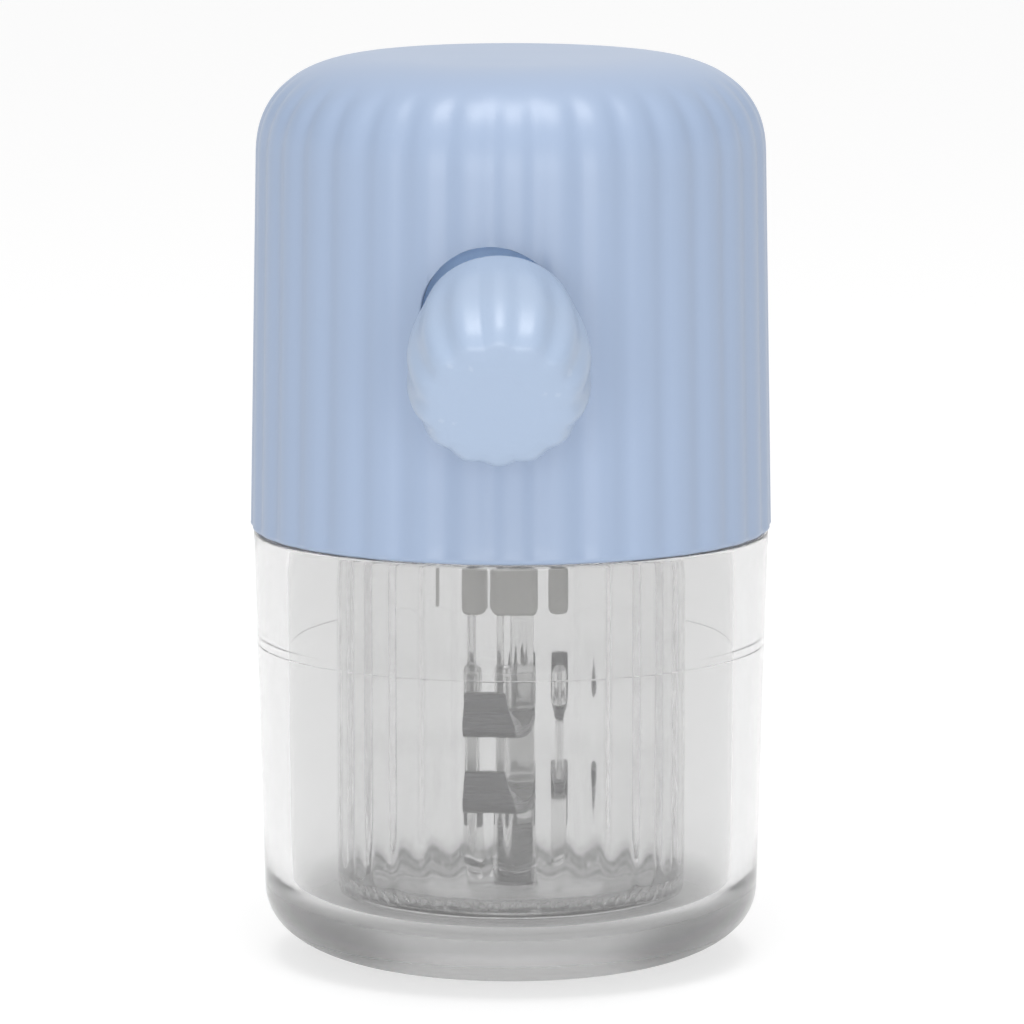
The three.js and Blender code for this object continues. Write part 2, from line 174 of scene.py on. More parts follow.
def mixColours(tree, mask, dark, light, target):
    mix = tree.nodes.new("ShaderNodeMix")
    mix.data_type = "RGBA"
    mix.inputs[6].default_value = (*dark, 1)
    mix.inputs[7].default_value = (*light, 1)
    tree.links.new(mask, mix.inputs["Factor"])
    tree.links.new(mix.outputs[2], target)
    return mix


def mapTo(tree, mask, low, high, target):
    ramp = addNode(tree, "ShaderNodeMapRange", **{"To Min": low, "To Max": high})
    tree.links.new(mask, ramp.inputs["Value"])
    if target is not None:
        tree.links.new(ramp.outputs["Result"], target)
    return ramp


def addBump(tree, shader, height, distance):
    bump = addNode(tree, "ShaderNodeBump", Strength=1.0, Distance=distance * mm)
    tree.links.new(height, bump.inputs["Height"])
    tree.links.new(bump.outputs["Normal"], shader.inputs["Normal"])


# What every finish of a kind shares.
plasticValues = {"ior": 1.5, "mottleSize": 60.0, "edgeStart": 0.53, "edgeFull": 0.62,
                 "roughnessSpread": 0.05}
# The last two clear values break up the ring of painted shade in the chamber's floor corner.
clearValues = {"mottleSize": 30.0, "polishLow": 0.5, "polishHigh": 1.5,
               "cornerShadeStart": 0.37, "cornerShadeFull": 0.46}
metalValues = {"rubShade": 0.8, "rougher": 0.1, "smoother": 0.05}


def mouldedPlastic(name, look):
    values = plasticValues
    made, tree, shader = material(name, look["colour"], Roughness=look["roughness"])
    shader.inputs["Specular IOR Level"].default_value = look["gloss"]
    shader.inputs["IOR"].default_value = values["ior"]
    grain = useGroup(tree, mouldGrain, **{"Grain Size": look["grainSize"],
                                          "Mottle Size": values["mottleSize"]})
    darker = [channel * (1 - look["variation"]) for channel in look["colour"]]
    body = mixColours(tree, grain.outputs["Mottle"], darker, look["colour"],
                      shader.inputs["Base Color"])
    edge = useGroup(tree, edgeMask, Start=values["edgeStart"], Full=values["edgeFull"])
    paler = tree.nodes.new("ShaderNodeMix")
    paler.data_type = "RGBA"
    paler.blend_type = "SCREEN"
    paler.inputs[7].default_value = (*look["edge"], 1)
    tree.links.new(edge.outputs["Edge"], paler.inputs["Factor"])
    tree.links.new(body.outputs[2], paler.inputs[6])
    tree.links.new(paler.outputs[2], shader.inputs["Base Color"])
    spread = values["roughnessSpread"]
    mapTo(tree, grain.outputs["Mottle"], look["roughness"] - spread, look["roughness"] + spread,
          shader.inputs["Roughness"])
    addBump(tree, shader, grain.outputs["Height"], look["grainDepth"])
    return made


def multiplyAdd(tree, value, factor, added):
    total = addNode(tree, "ShaderNodeMath", operation="MULTIPLY_ADD")
    tree.links.new(value, total.inputs[0])
    total.inputs[1].default_value = factor
    tree.links.new(added, total.inputs[2])
    return total.outputs[0]


# A ragged dark line of painted shade where the chamber's wall meets its floor.
def addCornerShadeRing(tree, shader, look, body, speckle):
    middle = (look["ringLow"] + look["ringHigh"]) / 2
    below = useGroup(tree, heightFade, Low=middle * mm, High=look["ringHigh"] * mm)
    above = useGroup(tree, heightFade, Low=look["ringLow"] * mm, High=middle * mm)
    band = addNode(tree, "ShaderNodeMath", operation="SUBTRACT")
    tree.links.new(below.outputs["Fade"], band.inputs[0])
    tree.links.new(above.outputs["Fade"], band.inputs[1])
    broken = addNode(tree, "ShaderNodeMapRange", **{"From Min": clearValues["cornerShadeStart"],
                                                    "From Max": clearValues["cornerShadeFull"]})
    tree.links.new(speckle, broken.inputs["Value"])
    mask = addNode(tree, "ShaderNodeMath", operation="MULTIPLY")
    tree.links.new(band.outputs[0], mask.inputs[0])
    tree.links.new(broken.outputs["Result"], mask.inputs[1])
    ring = mixColours(tree, mask.outputs[0], look["colour"], look["cornerShadeColour"],
                      shader.inputs["Base Color"])
    tree.links.new(body, ring.inputs[6])


# Clear plastic, hazier towards its base, where the moulding is thickest, and greyer there with
# painted shade.
def clearPlastic(name, look):
    values = clearValues
    made, tree, shader = material(name, look["colour"], Roughness=look["roughness"],
                                  IOR=look["ior"])
    shader.inputs["Transmission Weight"].default_value = look["clearness"]
    grain = useGroup(tree, mouldGrain, **{"Grain Size": look["grainSize"],
                                          "Mottle Size": values["mottleSize"]})
    fade = useGroup(tree, heightFade, Low=look["hazeAndShadeLow"] * mm, High=look["hazeAndShadeHigh"] * mm)
    # Painted shade: the colour turns greyer towards the base.
    body = mixColours(tree, fade.outputs["Fade"], look["colour"], look["paintedShadeColour"],
                      shader.inputs["Base Color"])
    polish = mapTo(tree, grain.outputs["Mottle"], look["roughness"] * values["polishLow"],
                   look["roughness"] * values["polishHigh"], None)
    hazy = multiplyAdd(tree, fade.outputs["Fade"], look["hazeRoughness"],
                       polish.outputs["Result"])
    tree.links.new(hazy, shader.inputs["Roughness"])
    coarse = useGroup(tree, mouldGrain, **{"Grain Size": look["pitSize"],
                                           "Mottle Size": values["mottleSize"]})
    pits = addNode(tree, "ShaderNodeMath", operation="MULTIPLY")
    tree.links.new(coarse.outputs["Height"], pits.inputs[0])
    tree.links.new(fade.outputs["Fade"], pits.inputs[1])
    relief = multiplyAdd(tree, pits.outputs[0], look["pitDepth"] / look["grainDepth"],
                         grain.outputs["Height"])
    addBump(tree, shader, relief, look["grainDepth"])
    # The liner gets a ring of painted shade in the corner of its floor.
    if "ringLow" in look:
        addCornerShadeRing(tree, shader, look, body.outputs[2], coarse.outputs["Height"])
    return made


def rubbedMetal(name, look):
    made, tree, shader = material(name, look["colour"], Metallic=1.0, Roughness=look["roughness"])
    rubs = useGroup(tree, rubLines, Across=look["across"], Along=look["along"])
    darker = [channel * metalValues["rubShade"] for channel in look["colour"]]
    mixColours(tree, rubs.outputs["Lines"], darker, look["colour"], shader.inputs["Base Color"])
    mapTo(tree, rubs.outputs["Lines"], look["roughness"] + metalValues["rougher"],
          look["roughness"] - metalValues["smoother"], shader.inputs["Roughness"])
    addBump(tree, shader, rubs.outputs["Height"], look["depth"])
    return made


looks = {
    "capBlue": {"colour": (0.315, 0.395, 0.54), "roughness": 0.36, "gloss": 0.5, "variation": 0.03,
                "grainSize": 1600.0, "grainDepth": 0.006, "edge": (0.03, 0.03, 0.03)},
    "knobBlue": {"colour": (0.345, 0.43, 0.57), "roughness": 0.34, "gloss": 0.5, "variation": 0.03,
                 "grainSize": 2600.0, "grainDepth": 0.012, "edge": (0.05, 0.05, 0.05)},
    # Painted light: the recess is the cap's plastic, painted much paler to stand in for light that
    # hardly reaches into it.
    "recessBluePaintedLight": {"colour": (0.52, 0.70, 0.97), "roughness": 0.5, "gloss": 0.4, "variation": 0.04,
                   "grainSize": 1200.0, "grainDepth": 0.01, "edge": (0.02, 0.02, 0.02)},
    "naturalWhite": {"colour": (0.78, 0.77, 0.73), "roughness": 0.45, "gloss": 0.4,
                     "variation": 0.05, "grainSize": 1400.0, "grainDepth": 0.01,
                     "edge": (0.05, 0.05, 0.05)},
    "paleSilicone": {"colour": (0.68, 0.68, 0.66), "roughness": 0.7, "gloss": 0.3,
                     "variation": 0.05, "grainSize": 1800.0, "grainDepth": 0.01,
                     "edge": (0.03, 0.03, 0.03)},
    # The cup's grey base colour near the floor is painted shade.
    "clearCup": {"colour": (0.835, 0.835, 0.835), "roughness": 0.03, "ior": 1.49, "clearness": 0.95,
                 "grainSize": 90.0, "grainDepth": 0.01, "hazeAndShadeLow": 1.0, "hazeAndShadeHigh": 8.5,
                 "paintedShadeColour": (0.34, 0.34, 0.34), "hazeRoughness": 0.3, "pitSize": 300.0,
                 "pitDepth": 0.002},
    "clearLiner": {"colour": (0.985, 0.985, 0.985), "roughness": 0.05, "ior": 1.49,
                   "clearness": 0.97, "grainSize": 130.0, "grainDepth": 0.02, "hazeAndShadeLow": 6.0,
                   "hazeAndShadeHigh": 8.5,
                   "paintedShadeColour": (0.93, 0.93, 0.93), "hazeRoughness": 0.04, "pitSize": 900.0,
                   # ringLow to ringHigh holds a dark ring of painted shade in the corner of the
                   # liner's floor.
                   "pitDepth": 0.02, "ringLow": 7.05, "ringHigh": 8.3,
                   "cornerShadeColour": (0.16, 0.16, 0.16)},
    "milky": {"colour": (0.99, 0.99, 0.985), "roughness": 0.08, "ior": 1.16, "clearness": 0.85,
              "grainSize": 200.0, "grainDepth": 0.02, "hazeAndShadeLow": 0.0, "hazeAndShadeHigh": 12.0,
              "paintedShadeColour": (0.9, 0.9, 0.9), "hazeRoughness": 0.1, "pitSize": 900.0,
              "pitDepth": 0.02},
    "bladeSteel": {"colour": (0.07, 0.07, 0.075), "roughness": 0.26, "across": 2600.0,
                   "along": 120.0, "depth": 0.01},
    "springSteel": {"colour": (0.20, 0.21, 0.23), "roughness": 0.35, "across": 1800.0,
                    "along": 200.0, "depth": 0.01},
    "turnedBrass": {"colour": (0.62, 0.46, 0.20), "roughness": 0.3, "across": 2200.0, "along": 90.0,
                    "depth": 0.008},
}

capBlue = mouldedPlastic("capBlue", looks["capBlue"])
knobBlue = mouldedPlastic("knobBlue", looks["knobBlue"])
# The recess finish is a paler copy of the cap's blue, as painted light.
recessBluePaintedLight = mouldedPlastic("recessBluePaintedLight", looks["recessBluePaintedLight"])
naturalWhite = mouldedPlastic("naturalWhite", looks["naturalWhite"])
paleSilicone = mouldedPlastic("paleSilicone", looks["paleSilicone"])
clearCupPlastic = clearPlastic("clearCupPlastic", looks["clearCup"])
clearLinerPlastic = clearPlastic("clearLinerPlastic", looks["clearLiner"])
milkyPlastic = clearPlastic("milkyPlastic", looks["milky"])
bladeSteel = rubbedMetal("bladeSteel", looks["bladeSteel"])
springSteel = rubbedMetal("springSteel", looks["springSteel"])
turnedBrass = rubbedMetal("turnedBrass", looks["turnedBrass"])


cordLook = {"colour": (0.80, 0.80, 0.77), "roughness": 0.85, "slant": 0.7, "lean": 0.3,
            "strandScale": 420.0, "unevenness": 0.6, "valleyShade": 0.7, "strandDepth": 0.12}


# White cord: two sets of slanting strands, crossed.
def braidedCord(look):
    colour = look["colour"]
    made, tree, shader = material("braidedCord", colour, Roughness=look["roughness"])
    place = tree.nodes.new("ShaderNodeTexCoord")
    heights = []
    for slant in (look["slant"], -look["slant"]):
        turn = addNode(tree, "ShaderNodeMapping", Rotation=(look["lean"], 0, slant))
        wave = addNode(tree, "ShaderNodeTexWave", Scale=look["strandScale"],
                       Distortion=look["unevenness"])
        tree.links.new(place.outputs["Object"], turn.inputs["Vector"])
        tree.links.new(turn.outputs["Vector"], wave.inputs["Vector"])
        heights.append(wave.outputs["Fac"])
    crossed = addNode(tree, "ShaderNodeMath", operation="MAXIMUM")
    tree.links.new(heights[0], crossed.inputs[0])
    tree.links.new(heights[1], crossed.inputs[1])
    valley = [channel * look["valleyShade"] for channel in colour]
    mixColours(tree, crossed.outputs[0], valley, colour, shader.inputs["Base Color"])
    addBump(tree, shader, crossed.outputs[0], look["strandDepth"])
    return made


cordWhite = braidedCord(cordLook)
print("finishes ready")


def bareObject(name, points, faces):
    mesh = bpy.data.meshes.new(name)
    mesh.from_pydata([Vector(point) * mm for point in points], [], faces)
    shaped = bmesh.new()
    shaped.from_mesh(mesh)
    bmesh.ops.remove_doubles(shaped, verts=shaped.verts, dist=0.002 * mm)
    bmesh.ops.recalc_face_normals(shaped, faces=shaped.faces)
    shaped.to_mesh(mesh)
    shaped.free()
    piece = bpy.data.objects.new(name, mesh)
    scene.collection.objects.link(piece)
    return piece


def meshObject(name, points, faces, finish, body, replaced=(), sharpAngle=35):
    piece = bareObject(name, points, faces)
    mesh = piece.data
    mesh.materials.append(finish)
    mesh.shade_smooth()
    mesh.set_sharp_from_angle(angle=math.radians(sharpAngle))
    if body:
        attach(piece, body)
    if replaced:
        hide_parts(*replaced)
    return piece


# Turns [radius, height] points about Z. reshape(angle, index, radius) gives the radius to use.
def turnedPoints(profile, segments, reshape=None, closed=False):
    points = []
    faces = []
    count = len(profile)
    for i in range(segments):
        angle = 2 * math.pi * i / segments
        for index, (radius, height) in enumerate(profile):
            used = reshape(angle, index, radius) if reshape else radius
            points.append((used * math.sin(angle), -used * math.cos(angle), height))
    spans = count if closed else count - 1
    for i in range(segments):
        j = (i + 1) % segments
        for index in range(spans):
            after = (index + 1) % count
            corners = [i * count + index, j * count + index, j * count + after, i * count + after]
            if profile[index][0] == 0:
                corners.pop(1)
            elif profile[after][0] == 0:
                corners.pop(2)
            faces.append(corners)
    return points, faces


def turnedPiece(name, profile, segments, finish, body, replaced=(), closed=True, place=None):
    points, faces = turnedPoints(profile, segments, closed=closed)
    if place is not None:
        points = [place @ Vector(point) for point in points]
    return meshObject(name, points, faces, finish, body, replaced)


# Faces between equal rings of points. Open rings get a flat face at each end.
def ringFaces(count, sides, looped=False):
    faces = []
    for ring in range(count if looped else count - 1):
        after = (ring + 1) % count
        for i in range(sides):
            j = (i + 1) % sides
            faces.append([ring * sides + i, ring * sides + j, after * sides + j, after * sides + i])
    if not looped:
        faces.append(list(range(sides)))
        faces.append([(count - 1) * sides + i for i in range(sides)])
    return faces


# How far out a hexagon's side is, at this angle, where its corners are at radius.
def hexRadius(radius, angle):
    turned = (angle + math.pi / 6) % (math.pi / 3) - math.pi / 6
    return radius * math.cos(math.pi / 6) / math.cos(turned)


def arc(centreR, centreZ, radius, start, end, steps):
    points = []
    for i in range(steps + 1):
        angle = math.radians(start + (end - start) * i / steps)
        points.append((centreR + radius * math.cos(angle), centreZ + radius * math.sin(angle)))
    return points


# A rounded shoulder from radius outer at height start to radius inner at start + rise.
def superCorner(outer, inner, start, rise, power, steps):
    points = []
    for i in range(steps + 1):
        angle = math.pi / 2 * i / steps
        radius = inner + (outer - inner) * max(math.cos(angle), 0) ** (2 / power)
        points.append((radius, start + rise * math.sin(angle) ** (2 / power)))
    return points


# The points between two ends, without the ends.
def straight(first, last, steps):
    points = []
    for i in range(1, steps):
        points.append((first[0] + (last[0] - first[0]) * i / steps,
                       first[1] + (last[1] - first[1]) * i / steps))
    return points


# A smooth curve through every point.
def catmull(points, steps):
    padded = [points[0]] + points + [points[-1]]
    made = []
    for i in range(1, len(padded) - 2):
        a, b, c, d = (Vector(point) for point in padded[i - 1:i + 3])
        for step in range(steps):
            t = step / steps
            made.append(tuple(0.5 * ((2 * b) + (c - a) * t + (2 * a - 5 * b + 4 * c - d) * t * t
                                     + (3 * b - a - 3 * c + d) * t ** 3)))
    made.append(tuple(points[-1]))
    return made


def smoothstep(value):
    value = min(max(value, 0), 1)
    return value * value * (3 - 2 * value)


# Cuts the cutter's shape out of the piece, then shades the new edges.
def subtract(piece, cutter):
    boolean = piece.modifiers.new("cut", "BOOLEAN")
    boolean.operation = "DIFFERENCE"
    boolean.object = cutter
    boolean.solver = "EXACT"
    bpy.context.view_layer.update()
    evaluated = piece.evaluated_get(bpy.context.evaluated_depsgraph_get())
    cutMesh = bpy.data.meshes.new_from_object(evaluated)
    piece.modifiers.clear()
    piece.data = cutMesh
    bpy.data.objects.remove(cutter)
    cutMesh.shade_smooth()
    cutMesh.set_sharp_from_angle(angle=math.radians(40))


stageValues = {
    "azimuth": 4.4, "distance": 700.0, "height": 149.6, "aim": 44.7, "lens": 249.3, "sensor": 36,
    "shift": 0.001, "farClip": 20, "floorRadius": 3000.0, "floorColour": (0.4, 0.4, 0.4),
    "floorGlow": 0.66, "floorRoughness": 0.9, "fibreSize": 260.0, "fibreMottle": 9.0,
    "fibreDepth": 0.02, "sky": 1.0, "sideSky": 0.12, "flagLow": 0.06, "flagHigh": 0.3,
    "bounces": 28,
}
lampValues = {
    "frontBox": {"spot": (40, -700, 135), "aim": (0, 0, 50), "size": (620, 230), "power": 1.6},
    "highBox": {"spot": (15, -150, 640), "aim": (0, 0, 60), "size": (360, 300), "power": 2.0},
}


def buildCamera():
    values = stageValues
    camera = bpy.data.cameras.new("camera")
    camera.lens = values["lens"]
    camera.sensor_width = values["sensor"]
    camera.shift_x = values["shift"]
    camera.clip_end = values["farClip"]
    viewer = bpy.data.objects.new("camera", camera)
    turn = math.radians(values["azimuth"])
    spot = Vector((math.sin(turn) * values["distance"], -math.cos(turn) * values["distance"],
                   values["height"])) * mm
    aim = Vector((0, 0, values["aim"])) * mm
    viewer.location = spot
    viewer.rotation_euler = (aim - spot).to_track_quat("-Z", "Y").to_euler()
    scene.collection.objects.link(viewer)
    scene.camera = viewer


def buildFloor():
    values = stageValues
    bpy.ops.mesh.primitive_circle_add(vertices=96, radius=values["floorRadius"] * mm,
                                      fill_type="NGON", location=(0, 0, 0))
    floor = bpy.context.object
    floor.name = "floor"
    paper, tree, shader = material("palePaper", values["floorColour"],
                                   Roughness=values["floorRoughness"])
    shader.inputs["Emission Color"].default_value = (1, 1, 1, 1)
    shader.inputs["Emission Strength"].default_value = values["floorGlow"]
    fibres = useGroup(tree, mouldGrain, **{"Grain Size": values["fibreSize"],
                                           "Mottle Size": values["fibreMottle"]})
    addBump(tree, shader, fibres.outputs["Height"], values["fibreDepth"])
    floor.data.materials.append(paper)


# A white sky, dimmed high up on both sides to shade the object's flanks.
def buildSky():
    values = stageValues
    world = bpy.data.worlds.new("studio")
    scene.world = world
    world.use_nodes = True
    tree = world.node_tree
    background = tree.nodes["Background"]
    background.inputs["Strength"].default_value = values["sky"]
    place = tree.nodes.new("ShaderNodeTexCoord")
    parts = tree.nodes.new("ShaderNodeSeparateXYZ")
    sideways = addNode(tree, "ShaderNodeMath", operation="ABSOLUTE")
    raised = addNode(tree, "ShaderNodeMapRange", interpolation_type="SMOOTHSTEP",
                     **{"From Min": values["flagLow"], "From Max": values["flagHigh"]})
    flagged = addNode(tree, "ShaderNodeMath", operation="MULTIPLY")
    tree.links.new(place.outputs["Generated"], parts.inputs["Vector"])
    tree.links.new(parts.outputs["X"], sideways.inputs[0])
    tree.links.new(parts.outputs["Z"], raised.inputs["Value"])
    tree.links.new(sideways.outputs[0], flagged.inputs[0])
    tree.links.new(raised.outputs["Result"], flagged.inputs[1])
    dim = (values["sideSky"],) * 3
    fade = mixColours(tree, flagged.outputs[0], (1, 1, 1), dim, background.inputs["Color"])
    fade.clamp_factor = True


def setLightPaths():
    scene.view_settings.view_transform = "Standard"
    scene.cycles.max_bounces = stageValues["bounces"]
    scene.cycles.transmission_bounces = stageValues["bounces"]
    scene.cycles.glossy_bounces = stageValues["bounces"]


def softbox(name, values):
    light = bpy.data.lights.new(name, "AREA")
    light.shape = "RECTANGLE"
    light.size, light.size_y = (side * mm for side in values["size"])
    light.energy = values["power"]
    lamp = bpy.data.objects.new(name, light)
    lamp.location = Vector(values["spot"]) * mm
    toAim = Vector(values["aim"]) * mm - lamp.location
    lamp.rotation_euler = toAim.to_track_quat("-Z", "Y").to_euler()
    scene.collection.objects.link(lamp)


buildCamera()
buildFloor()
buildSky()
setLightPaths()
for lampName, lampLook in lampValues.items():
    softbox(lampName, lampLook)
print("stage ready")


capValues = {
    "lowRadius": 25.95, "highRadius": 25.3, "shoulder": 10.4, "power": 2.49, "topRadius": 11.7,
    "wall": 2.0, "roof": 2.15, "flutes": 36, "fluteDepth": 0.34, "fluteSharpness": 1.5,
    "segments": 360, "lipRadius": 0.65, "lipInside": 24.4, "fadeFrom": 20, "fadeOver": 4.2,
    "holeRadius": 6.8, "holeEdge": 0.22, "holeSides": 96,
}


def buildCap():
    values = capValues
    low, high = boxOf("cap_shell")
    bottom, top = low.z, high.z
    start = top - values["shoulder"]
    roof = top - values["roof"]
    bend = values["lipRadius"]
    lip = [(values["lipInside"], bottom), (25.2, bottom)]
    lip += arc(25.35, bottom + bend, bend, -90, 0, 6)[1:]
    lip[-1] = (values["lowRadius"], bottom + bend)
    side = straight(lip[-1], (values["highRadius"], start), 26)
    shoulder = superCorner(values["highRadius"], values["topRadius"], start, values["shoulder"],
                           values["power"], 26)
    crown = [(radius, top) for radius in (9.0, 6.0, 3.0)] + [(0, top)]
    outside = lip + side + shoulder + crown
    innerRadius = values["highRadius"] - values["wall"]
    innerShoulder = superCorner(innerRadius, 12, start - 1, roof - start + 1, values["power"], 10)
    profile = outside + [(0, roof), (6, roof)] + list(reversed(innerShoulder))
    mouth = (24.0, bottom + 0.6)
    profile += straight((innerRadius, start - 1), mouth, 8) + [mouth]
    outsideCount = len(outside)

    def reshape(angle, index, radius):
        if index >= outsideCount or radius < values["fadeFrom"]:
            return radius
        share = smoothstep((radius - values["fadeFrom"]) / values["fadeOver"])
        if index < len(lip):
            share *= index / len(lip)
        groove = (0.5 + 0.5 * math.cos(values["flutes"] * angle)) ** values["fluteSharpness"]
        return radius - values["fluteDepth"] * groove * share

    points, faces = turnedPoints(profile, values["segments"], reshape, closed=True)
    cap = meshObject("capShell", points, faces, capBlue, "lid", ["cap_shell"], 40)
    subtract(cap, buildHoleCutter())


# A plug for the hole in the cap. Its rim flares along the curved wall, so the cut edge is rounded.
def buildHoleCutter():
    values = capValues
    low, high = boxOf("knob_socket")
    centre = (low.z + high.z) / 2
    surface = values["highRadius"] + 0.2
    edge = values["holeEdge"]
    rings = [(values["holeRadius"], -6.0), (values["holeRadius"], -edge)]
    for i in range(1, 7):
        angle = math.pi / 2 * i / 6
        rings.append((values["holeRadius"] + edge * (1 - math.cos(angle)),
                      -edge + edge * math.sin(angle)))
    rings.append((values["holeRadius"] + edge + 1.2, 1.6))
    sides = values["holeSides"]
    points = []
    for radius, depth in rings:
        for i in range(sides):
            angle = 2 * math.pi * i / sides
            x = radius * math.cos(angle)
            y = -math.sqrt(surface ** 2 - x ** 2) - depth
            points.append((x, y, centre + radius * math.sin(angle)))
    return bareObject("holeCutter", points, ringFaces(len(rings), sides))


recessValues = {"rim": 1.0, "clearance": 0.3, "backThickness": 1.2, "bore": 2.6, "corner": 0.6,
                "throat": ((6.3, -21.3), (5.1, -20.3), (4.15, -19.2)), "throatStart": -22.1,
                "throatEnd": 4.0, "sides": 96}


# The recess behind the hole: a round pan whose mouth meets the inside of the cap's wall. A ring
# with no depth of its own follows that wall.
def buildSocket():
    values = recessValues
    low, high = boxOf("knob_socket")
    centre = (low.z + high.z) / 2
    outer = (high.z - low.z) / 2
    inner = outer - values["rim"]
    wall = capValues["highRadius"] - capValues["wall"] - values["clearance"]
    back = high.y
    front = back - values["backThickness"]
    bore, corner = values["bore"], values["corner"]
    throat = [(inner, values["throatStart"]), *values["throat"], (values["throatEnd"], front - 0.4)]
    rings = [(bore, back), (outer - corner, back), (outer, back - corner), (outer, None),
             (inner, None)]
    rings += catmull(throat, 5) + [(3.9, front - 0.12), (3.7, front), (bore, front)]
    sides = values["sides"]
    points = []
    for radius, depth in rings:
        for i in range(sides):
            angle = 2 * math.pi * i / sides
            x = radius * math.cos(angle)
            y = -math.sqrt(wall ** 2 - x ** 2) if depth is None else depth
            points.append((x, y, centre + radius * math.sin(angle)))
    faces = ringFaces(len(rings), sides, looped=True)
    # The recess gets the blue painted paler, as painted light.
    meshObject("knobRecess", points, faces, recessBluePaintedLight, "lid", ["knob_socket"])


buildCap()
buildSocket()
print("cap ready")


knobValues = {
    "yaw": 5.0, "droop": 28.6, "length": 15.3, "flutes": 14, "fluteDepth": 0.37, "segments": 224,
    "fluteSharpness": 1.1, "beadDepth": 1.9, "discRadius": 3.65, "partingDepth": 0.05,
    "seatRadius": 2.6, "backRear": 0.2, "backFront": 3.4, "backRadius": 5.4,
}


def knobPlace():
    yaw = math.radians(knobValues["yaw"])
    droop = math.radians(knobValues["droop"])
    along = Vector((math.sin(yaw) * math.cos(droop), -math.cos(yaw) * math.cos(droop),
                    -math.sin(droop)))
    down = (Vector((0, 0, -1)) + along * along.z).normalized()
    side = down.cross(along)
    low, high = boxOf("cord_bead")
    rim = (low + high) / 2 - along * knobValues["beadDepth"]
    turn = Matrix((side, down, along)).transposed().to_4x4()
    return Matrix.Translation(rim) @ turn


def buildKnob():
    values = knobValues
    length = values["length"]
    disc = values["discRadius"]
    face = [(0, length - 0.07), (disc - 0.3, length - 0.07), (disc, length - 0.035),
            (disc + 0.35, length)]
    side = catmull([(4.5, length - 0.03), (6.1, length - 0.26), (7.35, length - 0.86),
                    (8.35, length - 2.7), (8.88, 9.2), (8.42, 5.0), (7.3, 1.0)], 8)
    rim = [(7.12, 0.4), (6.9, 0.12), (6.5, 0)]
    hollow = [(5.7, 0.3), (5.7, 4), (6.8, 7), (6.8, 10.6), (4.4, 13.6), (0, 13.8)]
    profile = face + side + rim + hollow
    first, last = len(face), len(face) + len(side)
    half = values["segments"] // 2
    lines = (half // values["flutes"], half // values["flutes"] + half)

    def reshape(angle, index, radius):
        if index < first or index >= last + 2:
            return radius
        share = smoothstep((index - first) / 11) * smoothstep((last - index) / 14)
        groove = (0.5 - 0.5 * math.cos(values["flutes"] * angle)) ** values["fluteSharpness"]
        onLine = round(values["segments"] * angle / math.pi / 2) in lines
        parting = values["partingDepth"] if onLine else 0
        return radius - values["fluteDepth"] * groove * share - parting

    points, faces = turnedPoints(profile, values["segments"], reshape, closed=False)
    place = knobPlace()
    points = [place @ Vector(point) for point in points]
    meshObject("knobShell", points, faces, knobBlue, "knob", ["knob_shell"], 40)


# The plate that closes the knob's back, with a round seat for the cord's bead.
def buildKnobBack():
    values = knobValues
    seat, rear, front = values["seatRadius"], values["backRear"], values["backFront"]
    edge, bead = values["backRadius"], values["beadDepth"]
    profile = [(edge - 0.2, rear), (edge, rear + 0.2), (edge, front), (seat, front)]
    for i in range(9):
        depth = bead - (bead - rear) * i / 8
        profile.append((math.sqrt(seat ** 2 - (bead - depth) ** 2), depth))
    turnedPiece("knobBack", profile, 64, knobBlue, "knob", ["knob_back"],
                place=knobPlace())


buildKnob()
buildKnobBack()
print("knob ready")


cordValues = {"radius": 0.75, "windingRadius": 11.05, "strandDepth": 0.06, "strands": 4,
              "strandTwist": 0.35, "sides": 24, "eyeletY": -17.2}


# The taut run from the winding, through the eyelet, to the bead in the knob.
def buildPullCord():
    values = cordValues
    low, high = boxOf("cord_eyelet")
    eyelet = Vector((0, values["eyeletY"], (low.z + high.z) / 2))
    beadLow, beadHigh = boxOf("cord_bead")
    bead = (beadLow + beadHigh) / 2
    pull = (bead - eyelet).normalized()
    level = Vector((0, 0, eyelet.z))

    def onWrap(degrees):
        angle = math.radians(degrees)
        return Vector((math.cos(angle), math.sin(angle), 0)) * values["windingRadius"] + level

    route = [bead - pull * 2.6, eyelet + pull * 6, eyelet + pull * 2, eyelet - pull * 1.6,
             Vector((-2, -14, eyelet.z)), onWrap(245), onWrap(229), onWrap(213)]
    spots = [Vector(spot) for spot in catmull([tuple(spot) for spot in route], 22)]
    points = []
    sides = values["sides"]
    for index, spot in enumerate(spots):
        ahead = spots[min(index + 1, len(spots) - 1)] - spots[max(index - 1, 0)]
        across = Vector((0, 0, 1)).cross(ahead).normalized()
        for i in range(sides):
            angle = 2 * math.pi * i / sides
            around, twist = values["strands"] * angle, index * values["strandTwist"]
            strand = abs(math.sin(around + twist)) * abs(math.sin(around - twist))
            radius = values["radius"] - values["strandDepth"] * (1 - strand)
            points.append(spot + across * radius * math.cos(angle)
                          + Vector((0, 0, 1)) * radius * math.sin(angle))
    faces = ringFaces(len(spots), sides)
    cord = meshObject("pullCord", points, faces, cordWhite, None, ["pull_cord"], 60)
    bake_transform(cord)


def buildBead():
    low, high = boxOf("cord_bead")
    centre = (low + high) / 2
    radius = (high.z - low.z) / 2
    profile = arc(0, 0, radius, -90, 90, 24)
    profile[0] = (0, -radius)
    profile[-1] = (0, radius)
    turnedPiece("cordBead", profile, 48, bladeSteel, "cord_end", ["cord_bead"],
                closed=False, place=Matrix.Translation(centre))


